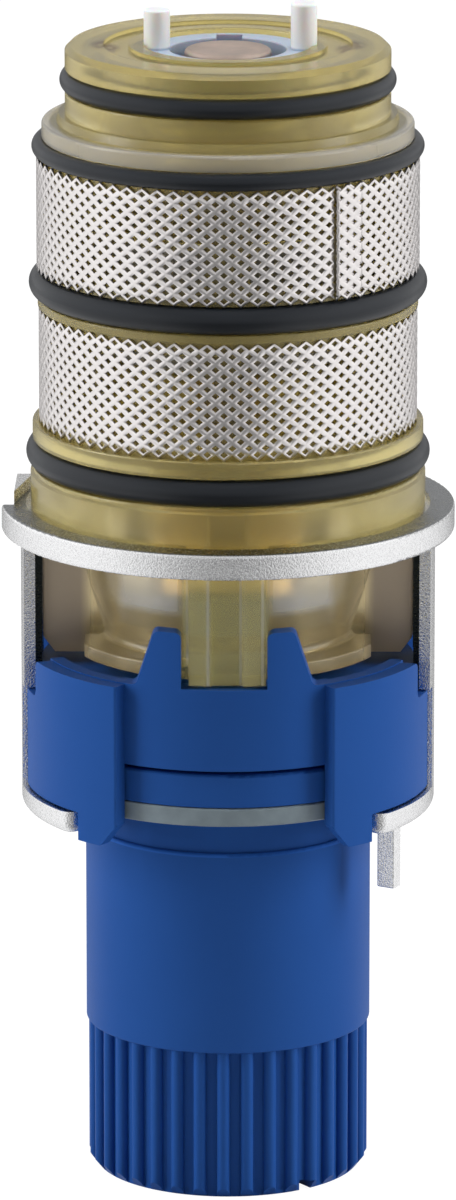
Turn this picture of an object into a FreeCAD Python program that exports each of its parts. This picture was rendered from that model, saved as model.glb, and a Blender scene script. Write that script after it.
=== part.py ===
"""Thermostatic mixing cartridge for a tap, standing on its splined spindle end.

Sizes are in millimetres. Z runs up the axis from the splined end. Angles are measured in
plan from the front, which is -Y, towards +X.
"""

import FreeCAD, Part
import math
import os

Vector = FreeCAD.Vector
AXIS = Vector(0, 0, 1)

# Clearances
running_gap = 0.05
side_gap = 0.12
loose_gap = 0.3
face_gap = 0.2
seal_gap = 0.03

# Edge roundings, and how far cutters run past and features are sunk into their carriers
fine_edge = 0.15
soft_edge = 0.3
overshoot = 1.0
sunk = 0.5

# Temperature spindle
spline_count = 36
spline_length = 13.5
spline_inset = 0.2
spline_depth = 0.7
spline_width = 1.1
spline_first_angle = -0.8
rim_chamfer = 0.9
rim_chamfer_width = 0.72
index_notch_angle = 36.7
index_notch_width = 1.2
barrel_radius = 12.65
barrel_length = 18.3
neck_inset = 0.45
neck_length = 5.2
collar_overhang = 3.55
collar_thickness = 3.0
hub_radius = 9.5
hub_length = 14.5
spindle_oring_section = 1.5
spindle_oring_drop = 4.0
foot_recess_depth = 3.5
foot_rim_width = 2.0
foot_web_width = 1.2
foot_web_count = 6
foot_web_inset = 0.8
screw_boss_radius = 4.5
handle_screw_radius = 2.05
handle_screw_depth = 12.0
stop_lug_height = 3.5
stop_lug_depth = 2.6
stop_lug_half_angle = 15.0
stop_block_half_angle = 12.0
stop_spare_angle = 3.0

# Slide washer
washer_thickness = 1.7

# Retaining frame
foot_thickness = 2.0
foot_half_angle = 41.5
foot_corner_radius = 1.2
foot_edge_radius = 0.8
leg_gap = 0.8
leg_thickness = 1.0
leg_half_angle = 8.0
leg_root_half_angle = 12.0
leg_rib_half_angle = 7.0
window_height = 23.1
flange_thickness = 2.3
flange_rim_width = 2.15
counterbore_depth = 0.5
counterbore_gap = 0.45
post_length = 5.6
post_angle = 60.5
post_depth = 1.73
post_width = 1.25
notch_depth = 1.2
notch_front = 2.0
lug_height = 1.2
lug_length = 6.6
lug_width = 1.8
lug_shoulder_width = 1.0
lug_shoulder_length = 4.8

# Stop ring
ring_land_height = 6.1
ring_rim_height = 1.2
ring_rim_width = 1.2
panel_thickness = 1.4
panel_inner_angle = 32.0
panel_outer_angle = 81.5
panel_step_angle = 70.0
panel_step_height = 3.3
panel_drop = 0.1
panel_corner_radius = 0.6
panel_edge_radius = 0.25
tongue_drop = 0.3
tongue_gap = 0.7
tongue_chamfer_width = 1.7
tongue_chamfer_height = 2.0
key_play = 0.4
tooth_height = 5.05
tooth_top_width = 2.35
tooth_base_width = 3.95
tooth_thickness = 1.6
tooth_corner_radius = 0.6

# Housing
seat_overlap = 0.83
skirt_wall = 1.4
skirt_lift = 1.35
skirt_rim_gap = 1.5
skirt_rim_height = 1.25
skirt_rim_half_width = 12.6
cone_gap = 3.0
cone_top_taper = 1.1
cone_middle_drop = 4.4
wing_gap = 0.93
wing_lift = 1.0
wing_width = 4.6
wing_chamfer_width = 0.95
wing_chamfer_height = 1.25
key_block_width = 6.72
key_channel_width = 2.75
key_channel_depth = 0.8
key_foot_height = 1.1
key_foot_setback = 0.2
collar_height = 3.45
collar_step = 0.2
collar_step_drop = 0.55
groove_play = 0.1
lower_land_height = 1.55
lower_seat_height = 10.4
lower_seat_step = 0.86
middle_land_step = 0.36
middle_land_height = 0.75
upper_seat_height = 10.15
screen_thickness = 0.3
upper_seat_step = 0.16
window_count = 6
window_rib_angle = 14.0
window_margin = 1.2
seat_wall = 1.84
seat_tube_inset = 0.35
seat_tube_wall = 1.4
web_step = 1.45
web_drop = 0.15
web_height = 2.7
chamber_floor_rise = 1.0
mixing_floor_rise = 5.8
guide_length = 9.5

# Seals on the outside
main_oring_section = 2.4
upper_oring_section = 1.5
lower_oring_proud = 0.58
middle_oring_proud = 0.78
upper_oring_proud = 0.39
cap_oring_proud = 0.47

# Filter screens
screen_columns = 24
screen_rows = 5
screen_open_share = 0.8
screen_margin = 0.35
screen_seam_start = 35.0
screen_seam_end = 44.2
screen_seam_lift = 0.2

# End cap
cap_flange_inset = 0.2
cap_flange_height = 1.5
cap_step_width = 0.75
cap_step_height = 0.7
cap_inset = 0.25
cap_height = 6.0
cap_top_wall = 2.5
cap_top_chamfer = 0.5
cap_oring_section = 1.8
cap_oring_drop = 3.1
cap_opening_radius = 7.3
cap_spigot_length = 2.0
cap_bead_height = 0.3
cap_ring_groove_inner = 8.7
cap_ring_groove_outer = 10.9
cap_ring_groove_depth = 0.35

# Pin insert
insert_bore_radius = 5.1
insert_flange_width = 1.2
insert_slot_wall = 0.8
insert_recess = 0.45
insert_slot_width = 2.3
pin_radius = 1.15
left_pin_offset = 6.2
right_pin_offset = 6.62
left_pin_height = 3.0
right_pin_height = 3.7

# Control slide, wax element and return spring
slide_length = 10.7
slide_stroke = 0.4
slide_wall = 2.0
slide_seal_section = 1.0
hub_thickness = 3.0
slide_hub_radius = 8.0
spoke_count = 4
spoke_width = 1.6
hub_rise = 7.2
cup_radius = 3.8
cup_height = 18.9
cup_edge_radius = 0.4
element_flange_radius = 5.6
element_flange_thickness = 1.5
element_guide_radius = 3.2
element_guide_length = 12.5
piston_radius = 1.9
piston_length = 15.5
piston_bore_end = 1.5
return_spring_radius = 6.6
return_wire = 1.2
return_turns = 4.5

# Regulating screw, overload plunger and overload spring
screw_radius = 6.9
screw_length = 25.0
screw_lead = 6.0
screw_floor = 2.0
screw_bore_radius = 5.0
screw_key_width = 2.6
screw_key_reach = 2.4
screw_key_height = 4.0
screw_top_gap = 1.0
screw_vent_radius = 1.0
screw_bottom_gap = 1.5
plunger_height = 3.0
plunger_recess = 1.0
plunger_boss_radius = 3.0
plunger_boss_length = 3.0
ring_groove_depth = 0.5
snap_ring_thickness = 1.0
snap_ring_width = 1.3
snap_ring_opening = 60.0
snap_ring_drop = 1.0
overload_spring_radius = 3.95
overload_wire = 1.2
overload_turns = 7.0

# Heights up the axis
barrel_top = spline_length + barrel_length
collar_bottom = barrel_top + neck_length
collar_top = collar_bottom + collar_thickness
hub_top = collar_top + hub_length
washer_bottom = collar_bottom - washer_thickness
foot_bottom = washer_bottom - foot_thickness
flange_bottom = washer_bottom + window_height
flange_top = flange_bottom + flange_thickness
ring_bottom = collar_top + 2 * face_gap
ring_land_top = ring_bottom + ring_land_height
ring_top = ring_land_top + ring_rim_height
tooth_top = ring_top + tooth_height
housing_seat = flange_top - counterbore_depth
collar_shoulder = flange_top + collar_height
main_groove = main_oring_section + groove_play
lower_oring_z = collar_shoulder + main_groove / 2
lower_land_bottom = collar_shoulder + main_groove
lower_seat_bottom = lower_land_bottom + lower_land_height
lower_seat_top = lower_seat_bottom + lower_seat_height
middle_land_top = lower_seat_top + middle_land_height
middle_oring_z = middle_land_top + main_groove / 2
upper_seat_bottom = middle_land_top + main_groove
upper_seat_top = upper_seat_bottom + upper_seat_height
housing_top = upper_seat_top + upper_oring_section
upper_oring_z = (upper_seat_top + housing_top) / 2
panel_top = ring_top - panel_drop
leg_root_bottom = panel_top - panel_step_height + face_gap
leg_rib_bottom = ring_top + face_gap
skirt_bottom = ring_land_top + skirt_lift
skirt_rim_top = skirt_bottom + skirt_rim_height
wing_bottom = ring_land_top + wing_lift
key_bottom = ring_top + face_gap
mixing_floor = flange_top + mixing_floor_rise
guide_bottom = mixing_floor - guide_length
chamber_floor = lower_seat_bottom + chamber_floor_rise
web_bottom = middle_land_top - web_drop
web_top = web_bottom + web_height
slide_middle = (web_bottom + web_top) / 2
slide_bottom = slide_middle - slide_length / 2
slide_top = slide_middle + slide_length / 2
lower_seat_z = slide_bottom - slide_stroke
upper_seat_z = slide_top + slide_stroke
cap_flange_top = housing_top + cap_flange_height
cap_step_top = cap_flange_top + cap_step_height
cap_top = cap_step_top + cap_height
cap_ceiling = cap_top - cap_top_wall
cap_oring_z = cap_top - cap_oring_drop
insert_bottom = cap_ceiling - return_wire - face_gap
insert_top = cap_top - insert_recess
element_flange_bottom = slide_bottom + hub_rise - element_flange_thickness
slide_hub_bottom = element_flange_bottom + element_flange_thickness
slide_hub_top = slide_hub_bottom + hub_thickness
element_guide_bottom = element_flange_bottom - element_guide_length
cup_top = slide_hub_bottom + cup_height
turn_limit = 180.0 - stop_lug_half_angle - stop_block_half_angle - stop_spare_angle
screw_travel = screw_lead * turn_limit / 360.0
screw_top = mixing_floor - screw_travel - screw_top_gap
screw_bottom = screw_top - screw_length
thread_bottom = screw_bottom - screw_travel - screw_bottom_gap
snap_ring_top = screw_top - snap_ring_drop
snap_ring_bottom = snap_ring_top - snap_ring_thickness
plunger_top = snap_ring_bottom - running_gap
plunger_bottom = plunger_top - plunger_height
piston_bottom = plunger_top - plunger_recess
piston_top = piston_bottom + piston_length
spindle_oring_z = hub_top - spindle_oring_drop

# Radii that follow from the pieces they fit
spline_crest_radius = barrel_radius - spline_inset
spline_root_radius = spline_crest_radius - spline_depth
neck_radius = barrel_radius - neck_inset
collar_radius = barrel_radius + collar_overhang
washer_bore = neck_radius + face_gap
foot_inner_radius = barrel_radius + loose_gap
band_radius = collar_radius + loose_gap
panel_radius = band_radius + panel_thickness
leg_inner_radius = band_radius + leg_gap
post_radius = band_radius
leg_outer_radius = leg_inner_radius + leg_thickness
wing_radius = leg_inner_radius - wing_gap
leg_rib_radius = wing_radius + side_gap
flange_hole_radius = wing_radius + face_gap
housing_collar_radius = flange_hole_radius + seat_overlap
counterbore_radius = housing_collar_radius + counterbore_gap
flange_radius = counterbore_radius + flange_rim_width
notch_chord = flange_radius - notch_depth
key_block_radius = band_radius - face_gap
skirt_bore = hub_radius + running_gap
skirt_radius = skirt_bore + skirt_wall
ring_rim_radius = band_radius - ring_rim_width
skirt_rim_radius = ring_rim_radius - skirt_rim_gap
cone_top_radius = flange_hole_radius - cone_gap
cone_middle_radius = cone_top_radius - cone_top_taper
lower_land_radius = housing_collar_radius - collar_step
lower_seat_radius = lower_land_radius - lower_seat_step
middle_land_radius = lower_seat_radius + middle_land_step
upper_seat_radius = lower_seat_radius + upper_seat_step
chamber_radius = lower_seat_radius - seat_wall
web_radius = chamber_radius - web_step
cap_radius = chamber_radius - cap_inset
cap_step_radius = cap_radius + cap_step_width
cap_flange_radius = upper_seat_radius - cap_flange_inset
ring_land_bore = hub_radius + 2 * loose_gap
stop_lug_radius = hub_radius + stop_lug_depth
ring_pocket_radius = stop_lug_radius + loose_gap
guide_bore = screw_radius + running_gap
lower_screen_radius = lower_seat_radius + screen_thickness
upper_screen_radius = upper_seat_radius + screen_thickness
lower_oring_radius = lower_land_radius + lower_oring_proud
middle_oring_radius = middle_land_radius + middle_oring_proud
upper_oring_radius = upper_screen_radius + upper_oring_proud
cap_oring_radius = cap_radius + cap_oring_proud
slide_radius = web_radius - 2 * running_gap
slide_bore = slide_radius - slide_wall
seat_tube_radius = slide_bore + seat_tube_inset
seat_tube_outer = seat_tube_radius + seat_tube_wall
slide_seal_radius = web_radius - running_gap
insert_radius = cap_opening_radius - side_gap
piston_bore_radius = piston_radius + running_gap
plunger_radius = screw_bore_radius - running_gap
key_slot_width = screw_key_width + 2 * side_gap
key_slot_radius = screw_radius + screw_key_reach + face_gap

# Angles that follow: the housing rests turned until its key almost meets one tooth, and the
# screw's keys turn with it
housing_turn = math.degrees((key_play - side_gap) / key_block_radius)
tongue_end_angle = 90.0 - foot_half_angle - math.degrees(tongue_gap / band_radius)


def at(radius, angle, z=0.0):
    """Point at an angle from the front."""
    turn = math.radians(angle)
    return Vector(radius * math.sin(turn), -radius * math.cos(turn), z)


def rounded_wire(corners):
    """Closed wire in the XZ plane through (x, z, radius) corners."""
    points = [Vector(corner[0], 0, corner[1]) for corner in corners]
    radii = [corner[2] if len(corner) > 2 else 0.0 for corner in corners]
    edges = []
    ends = []
    for index, point in enumerate(points):
        before = (points[index - 1] - point).normalize()
        after = (points[(index + 1) % len(points)] - point).normalize()
        if radii[index] == 0.0:
            ends.append((point, None, point))
            continue
        half = before.getAngle(after) / 2
        cut = radii[index] / math.tan(half)
        inward = (before + after).normalize()
        centre = point + inward * (radii[index] / math.sin(half))
        ends.append((point + before * cut, centre - inward * radii[index], point + after * cut))
    for index, (start, middle, end) in enumerate(ends):
        if middle is not None:
            edges.append(Part.Arc(start, middle, end).toShape())
        following = ends[(index + 1) % len(ends)][0]
        edges.append(Part.makeLine(end, following))
    return Part.Wire(edges)


def turned(corners):
    """Solid of revolution about the axis from (radius, z, corner radius) corners."""
    face = Part.Face(rounded_wire(corners))
    return face.revolve(Vector(0, 0, 0), AXIS, 360)


def tube(inner, outer, bottom, top):
    """Plain ring between two heights."""
    return turned([(inner, bottom), (outer, bottom), (outer, top), (inner, top)])


def disc(radius, bottom, top):
    """Plain cylinder on the axis."""
    return Part.makeCylinder(radius, top - bottom, Vector(0, 0, bottom))


def sector(inner, outer, bottom, top, start, end):
    """Part of a ring between two angles from the front."""
    wedge = Part.makeCylinder(outer, top - bottom, Vector(0, 0, bottom), AXIS, end - start)
    wedge.rotate(Vector(0, 0, 0), AXIS, start - 90)
    return wedge.cut(disc(inner, bottom - overshoot, top + overshoot))


def block(width, near, far, bottom, top, angle=0.0):
    """Box across a radius: width along the tangent, near and far along the radius."""
    shape = Part.makeBox(width, far - near, top - bottom, Vector(-width / 2, -far, bottom))
    shape.rotate(Vector(0, 0, 0), AXIS, angle)
    return shape


def fused(shapes):
    """One solid from touching shapes."""
    return shapes[0].multiFuse(shapes[1:]).removeSplitter()


def oring(outer_radius, section, height):
    """Seal ring of round section."""
    half = section / 2
    return Part.makeTorus(outer_radius - half, half, Vector(0, 0, height), AXIS)


def groove_floor(outer_radius, section):
    """Radius of the groove floor under a seal ring."""
    return outer_radius - section - seal_gap


def coil(radius, wire, turns, bottom, top):
    """Helical spring whose end coils lie on its two seats."""
    travel = top - bottom - wire - 2 * seal_gap
    path = Part.makeHelix(travel / turns, travel, radius)
    path.translate(Vector(0, 0, bottom + wire / 2 + seal_gap))
    start = path.Vertexes[0].Point
    circle = Part.makeCircle(wire / 2, start, path.Edges[0].tangentAt(path.Edges[0].FirstParameter))
    return Part.Wire(path.Edges).makePipeShell([Part.Wire([circle])], True, True)


def spline_prism():
    """Ribbed prism of the spindle's lower end, before its rim is chamfered."""
    half_rib = math.degrees(spline_width / 2 / spline_root_radius)
    pitch = 360.0 / spline_count
    edges = []
    for index in range(spline_count):
        angle = spline_first_angle + index * pitch
        rise = at(spline_root_radius, angle - half_rib)
        fall = at(spline_root_radius, angle + half_rib)
        following = at(spline_root_radius, angle + pitch - half_rib)
        valley = at(spline_root_radius, angle + pitch / 2)
        edges.append(Part.Arc(rise, at(spline_crest_radius, angle), fall).toShape())
        edges.append(Part.Arc(fall, valley, following).toShape())
    return Part.Face(Part.Wire(edges)).extrude(AXIS * spline_length)


def temperature_spindle():
    """Blue spindle: ribbed end, barrel, neck, collar and the hub that drives the screw."""
    envelope = turned([
        (0, 0), (spline_crest_radius - rim_chamfer_width, 0), (spline_crest_radius, rim_chamfer),
        (spline_crest_radius, spline_length), (0, spline_length)])
    ribbed = spline_prism().common(envelope)
    groove = groove_floor(skirt_bore, spindle_oring_section)
    half_groove = (spindle_oring_section + groove_play) / 2
    upper = turned([
        (0, spline_length - sunk), (spline_root_radius - sunk, spline_length - sunk),
        (spline_root_radius - sunk, spline_length), (barrel_radius, spline_length, fine_edge),
        (barrel_radius, barrel_top, soft_edge), (neck_radius, barrel_top),
        (neck_radius, collar_bottom, fine_edge), (collar_radius, collar_bottom, fine_edge),
        (collar_radius, collar_top, soft_edge), (hub_radius, collar_top),
        (hub_radius, spindle_oring_z - half_groove), (groove, spindle_oring_z - half_groove),
        (groove, spindle_oring_z + half_groove), (hub_radius, spindle_oring_z + half_groove),
        (hub_radius, hub_top, soft_edge), (0, hub_top)])
    lug = sector(hub_radius - sunk, stop_lug_radius, collar_top - sunk,
                 collar_top + stop_lug_height,
                 -stop_lug_half_angle, stop_lug_half_angle)
    body = fused([ribbed, upper, lug])
    bore = disc(guide_bore, thread_bottom, hub_top + overshoot)
    rim_inner = spline_root_radius - foot_rim_width
    recess = tube(screw_boss_radius, rim_inner, -overshoot, foot_recess_depth)
    webs = [block(foot_web_width, screw_boss_radius - sunk, rim_inner + sunk, foot_web_inset,
                  foot_recess_depth + sunk, turn * 360.0 / foot_web_count)
            for turn in range(foot_web_count)]
    boss_relief = disc(screw_boss_radius, -overshoot, foot_web_inset / 2)
    screw_hole = disc(handle_screw_radius, -overshoot, handle_screw_depth)
    notch = block(index_notch_width, rim_inner - overshoot, barrel_radius + overshoot,
                  -overshoot, rim_chamfer, index_notch_angle)
    body = body.cut(recess).multiFuse(webs)
    return body.cut([bore, boss_relief, screw_hole, notch]).removeSplitter()


def slide_washer():
    """Grey washer between the feet and the spindle's collar."""
    top = collar_bottom - running_gap
    return turned([
        (washer_bore, washer_bottom), (collar_radius, washer_bottom, fine_edge),
        (collar_radius, top, fine_edge), (washer_bore, top)])


def is_outer_arc(edge):
    """True for an edge that runs round the outside of a foot."""
    ends = [math.hypot(vertex.Point.x, vertex.Point.y) for vertex in edge.Vertexes]
    return min(ends) > leg_outer_radius - foot_corner_radius - fine_edge


def frame_foot(side):
    """Curved foot that carries the washer, with rounded ends and lower edge."""
    foot = sector(foot_inner_radius, leg_outer_radius, foot_bottom, washer_bottom,
                  side * 90 - foot_half_angle, side * 90 + foot_half_angle)
    ends = [edge for edge in foot.Edges
            if abs(edge.BoundBox.ZLength - foot_thickness) < seal_gap
            and math.hypot(edge.CenterOfMass.x, edge.CenterOfMass.y) > leg_inner_radius]
    foot = foot.makeFillet(foot_corner_radius, ends)
    rim = [edge for edge in foot.Edges
           if edge.BoundBox.ZMax < foot_bottom + seal_gap and is_outer_arc(edge)]
    return foot.makeFillet(foot_edge_radius, rim)


def retaining_frame():
    """Cast frame: flange, two legs, two feet, a post and a lug at the flange's notch."""
    flange = turned([
        (flange_hole_radius, flange_bottom), (flange_radius, flange_bottom, soft_edge),
        (flange_radius, flange_top, soft_edge), (counterbore_radius, flange_top),
        (counterbore_radius, housing_seat), (flange_hole_radius, housing_seat)])
    cut = Part.makeBox(flange_radius, flange_radius, flange_thickness + 2 * overshoot,
                       Vector(-notch_chord - flange_radius, -notch_front,
                              flange_bottom - overshoot))
    flange = flange.cut(cut)
    lug_face = [(0, 0), (lug_shoulder_width, lug_shoulder_length), (lug_width, lug_length),
                (0, lug_length), (0, 0)]
    lug = Part.Face(Part.makePolygon([Vector(x - notch_chord, y - notch_front, 0)
                                      for x, y in lug_face]))
    lug.translate(Vector(0, 0, flange_top - sunk))
    lug = lug.extrude(AXIS * (lug_height + sunk))
    lug = lug.cut(disc(counterbore_radius + fine_edge, flange_bottom,
                       flange_top + 2 * lug_height))
    pieces = [flange, lug]
    for side in (-1, 1):
        pieces.append(frame_foot(side))
        pieces.append(sector(leg_inner_radius, leg_outer_radius, washer_bottom - sunk,
                             flange_bottom + sunk, side * 90 - leg_half_angle,
                             side * 90 + leg_half_angle))
        pieces.append(sector(leg_inner_radius, leg_outer_radius, leg_root_bottom,
                             flange_bottom + sunk, side * 90 - leg_root_half_angle,
                             side * 90 + leg_root_half_angle))
        pieces.append(sector(leg_rib_radius, leg_inner_radius + sunk, leg_rib_bottom,
                             flange_bottom + sunk, side * 90 - leg_rib_half_angle,
                             side * 90 + leg_rib_half_angle))
    post_bottom = foot_bottom - post_length
    post = block(post_width, post_radius - post_depth / 2, post_radius + post_depth / 2,
                 post_bottom, foot_bottom + sunk)
    post = post.makeFillet(fine_edge, [edge for edge in post.Edges
                                       if edge.BoundBox.ZMin < post_bottom + seal_gap])
    post.rotate(Vector(0, 0, 0), AXIS, post_angle)
    pieces.append(post)
    return fused(pieces)


def ring_tooth(side):
    """Tooth with an upright inner side and a slanted outer side."""
    start = key_block_width / 2 + key_play
    end = start + tooth_base_width + 2 * tooth_corner_radius
    corners = [
        (start, ring_top - overshoot), (start, tooth_top, tooth_corner_radius),
        (start + tooth_top_width, tooth_top, tooth_corner_radius),
        (start + tooth_base_width, ring_top, tooth_corner_radius),
        (end, ring_top), (end, ring_top - overshoot)]
    profile = Part.Face(rounded_wire([(side * x, *rest) for x, *rest in corners]))
    return profile.extrude(Vector(0, -(band_radius + overshoot), 0))


def is_panel_edge(edge):
    """True for the upright outer edges of a panel that get a rounding."""
    if edge.BoundBox.ZLength < panel_step_height / 2 or edge.BoundBox.XLength > seal_gap:
        return False
    corner = edge.CenterOfMass
    inner = at(panel_radius, panel_inner_angle, corner.z)
    return corner.distanceToPoint(inner) < seal_gap


def side_panel(side):
    """Panel that hangs outside the collar and embraces a leg, with its tongue."""
    lower = washer_bottom + face_gap
    tongue_bottom = foot_bottom - tongue_drop
    step = panel_top - panel_step_height
    panel = fused([
        sector(band_radius, panel_radius, lower, step, panel_inner_angle, panel_outer_angle),
        sector(band_radius, panel_radius, lower, panel_top, panel_inner_angle, panel_step_angle),
        sector(band_radius, panel_radius, tongue_bottom, lower + overshoot, panel_inner_angle,
               tongue_end_angle)])
    panel = panel.makeFillet(panel_edge_radius, [edge for edge in panel.Edges
                                                 if is_panel_edge(edge)])
    steps = [at((band_radius + panel_radius) / 2, panel_step_angle, step),
             at((band_radius + panel_radius) / 2, panel_step_angle, panel_top),
             at((band_radius + panel_radius) / 2, panel_outer_angle, step)]
    corners = [edge for edge in panel.Edges for point in steps
               if edge.CenterOfMass.distanceToPoint(point) < seal_gap]
    panel = panel.makeFillet(panel_corner_radius, corners)
    wedge = Part.Face(Part.makePolygon([
        Vector(0, 0, 0), Vector(tongue_chamfer_width, 0, 0),
        Vector(0, 0, tongue_chamfer_height), Vector(0, 0, 0)]))
    wedge = wedge.extrude(Vector(0, 2 * panel_thickness, 0))
    wedge.translate(Vector(0, -panel_radius - face_gap, tongue_bottom))
    wedge.rotate(Vector(0, 0, 0), AXIS, panel_inner_angle)
    panel = panel.cut(wedge)
    if side < 0:
        panel = panel.mirror(Vector(0, 0, 0), Vector(1, 0, 0))
    return panel


def stop_ring():
    """Blue ring above the collar, with teeth for the key blocks and panels for the legs."""
    pocket_top = collar_top + stop_lug_height + loose_gap
    overlap_radius = band_radius + sunk
    band = turned([
        (ring_pocket_radius, ring_bottom), (overlap_radius, ring_bottom),
        (overlap_radius, ring_top), (ring_rim_radius, ring_top),
        (ring_rim_radius, ring_land_top, sunk), (ring_land_bore, ring_land_top),
        (ring_land_bore, pocket_top), (ring_pocket_radius, pocket_top)])
    outer_face = disc(band_radius, ring_bottom - overshoot, tooth_top + overshoot)
    rim_gaps = [sector(ring_rim_radius - overshoot, band_radius + overshoot, ring_land_top,
                       ring_top + overshoot, start, start + 180.0 - 2 * panel_step_angle)
                for start in (panel_step_angle, panel_step_angle + 180.0)]
    band = band.common(outer_face).cut(rim_gaps)
    stop_block = sector(ring_land_bore, ring_pocket_radius + sunk, ring_bottom,
                        pocket_top + sunk, 180 - stop_block_half_angle,
                        180 + stop_block_half_angle)
    shell = tube(band_radius - tooth_thickness, band_radius, ring_land_top + sunk,
                 tooth_top + overshoot)
    teeth = [ring_tooth(side).common(shell) for side in (-1, 1)]
    panels = [side_panel(side) for side in (-1, 1)]
    front = teeth + panels
    back = []
    for shape in front:
        turned_round = shape.copy()
        turned_round.rotate(Vector(0, 0, 0), AXIS, 180)
        back.append(turned_round)
    return fused([band, stop_block] + front + back)


def housing_windows(bottom, top):
    """Cutters for the inlet windows behind a screen."""
    pitch = 360.0 / window_count
    return [sector(web_radius, flange_radius, bottom + window_margin, top - window_margin,
                   index * pitch + window_rib_angle / 2, (index + 1) * pitch - window_rib_angle / 2)
            for index in range(window_count)]


def housing_wing(side):
    """Flat wing that fills the space between the cone and a leg."""
    top = housing_seat + sunk
    wing = block(wing_width, skirt_bore + sunk, wing_radius + overshoot, wing_bottom, top)
    outline = turned([
        (0, wing_bottom), (wing_radius - wing_chamfer_width, wing_bottom),
        (wing_radius, wing_bottom + wing_chamfer_height), (wing_radius, top), (0, top)])
    wing = wing.common(outline)
    edges = [edge for edge in wing.Edges
             if math.hypot(edge.CenterOfMass.x, edge.CenterOfMass.y) > wing_radius - fine_edge
             and edge.BoundBox.ZLength > wing_lift]
    wing = wing.makeFillet(soft_edge, edges)
    wing.rotate(Vector(0, 0, 0), AXIS, side * 90)
    return wing


def housing_key(angle):
    """Key block between a pair of teeth: two ribs with a channel between them."""
    top = housing_seat + sunk
    key = block(key_block_width, skirt_bore + sunk, key_block_radius + overshoot, key_bottom, top)
    foot_top = key_bottom + key_foot_height
    key = key.common(turned([
        (0, key_bottom), (key_block_radius - key_foot_setback, key_bottom, fine_edge),
        (key_block_radius - key_foot_setback, foot_top), (key_block_radius, foot_top),
        (key_block_radius, top), (0, top)]))
    channel = block(key_channel_width, key_block_radius - key_channel_depth,
                    key_block_radius + overshoot, key_bottom - overshoot, flange_bottom)
    key = key.cut(channel)
    key.rotate(Vector(0, 0, 0), AXIS, angle)
    return key


def housing():
    """Amber body with seats, grooves, inlet windows, chambers and the keyed guide bore."""
    lower_floor = groove_floor(lower_oring_radius, main_oring_section)
    middle_floor = groove_floor(middle_oring_radius, main_oring_section)
    upper_floor = groove_floor(upper_oring_radius, upper_oring_section)
    bead_z = housing_top - cap_spigot_length / 2
    bead_radius = chamber_radius + cap_bead_height
    body = turned([
        (skirt_bore, skirt_bottom), (skirt_rim_radius, skirt_bottom, fine_edge),
        (skirt_rim_radius, skirt_rim_top, fine_edge),
        (skirt_radius, skirt_rim_top, sunk),
        (cone_middle_radius, flange_bottom - cone_middle_drop),
        (cone_top_radius, flange_bottom), (cone_top_radius, housing_seat),
        (housing_collar_radius, housing_seat, fine_edge),
        (housing_collar_radius, collar_shoulder - collar_step_drop),
        (lower_land_radius, collar_shoulder - collar_step_drop + collar_step),
        (lower_land_radius, collar_shoulder, fine_edge),
        (lower_floor, collar_shoulder), (lower_floor, lower_land_bottom),
        (lower_land_radius, lower_land_bottom, fine_edge),
        (lower_land_radius, lower_seat_bottom, fine_edge),
        (lower_seat_radius, lower_seat_bottom), (lower_seat_radius, lower_seat_top),
        (middle_land_radius, lower_seat_top), (middle_land_radius, middle_land_top, fine_edge),
        (middle_floor, middle_land_top), (middle_floor, upper_seat_bottom),
        (upper_seat_radius, upper_seat_bottom), (upper_seat_radius, upper_seat_top),
        (upper_floor, upper_seat_top), (upper_floor, housing_top),
        (chamber_radius, housing_top), (chamber_radius, bead_z + cap_bead_height),
        (bead_radius, bead_z), (chamber_radius, bead_z - cap_bead_height),
        (chamber_radius, web_top), (web_radius, web_top), (web_radius, web_bottom),
        (chamber_radius, web_bottom), (chamber_radius, chamber_floor),
        (seat_tube_outer, chamber_floor), (seat_tube_outer, lower_seat_z),
        (seat_tube_radius, lower_seat_z, soft_edge), (seat_tube_radius, mixing_floor),
        (guide_bore, mixing_floor), (guide_bore, guide_bottom), (skirt_bore, guide_bottom)])
    additions = [housing_wing(-1), housing_wing(1), housing_key(0), housing_key(180)]
    cuts = housing_windows(lower_seat_bottom + chamber_floor_rise - window_margin, lower_seat_top)
    cuts += housing_windows(upper_seat_bottom, upper_seat_top)
    for angle in (0, 180):
        cuts.append(block(key_slot_width, 0, key_slot_radius, guide_bottom - overshoot,
                          mixing_floor + overshoot, angle))
    rim_flats = [block(2 * skirt_rim_radius, skirt_rim_half_width, skirt_rim_radius + overshoot,
                       skirt_bottom - overshoot, skirt_rim_top, angle)
                 for angle in (-90, 90)]
    body = fused([body.cut(rim_flats)] + additions).cut(cuts).removeSplitter()
    body.rotate(Vector(0, 0, 0), AXIS, housing_turn)
    return body


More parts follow.
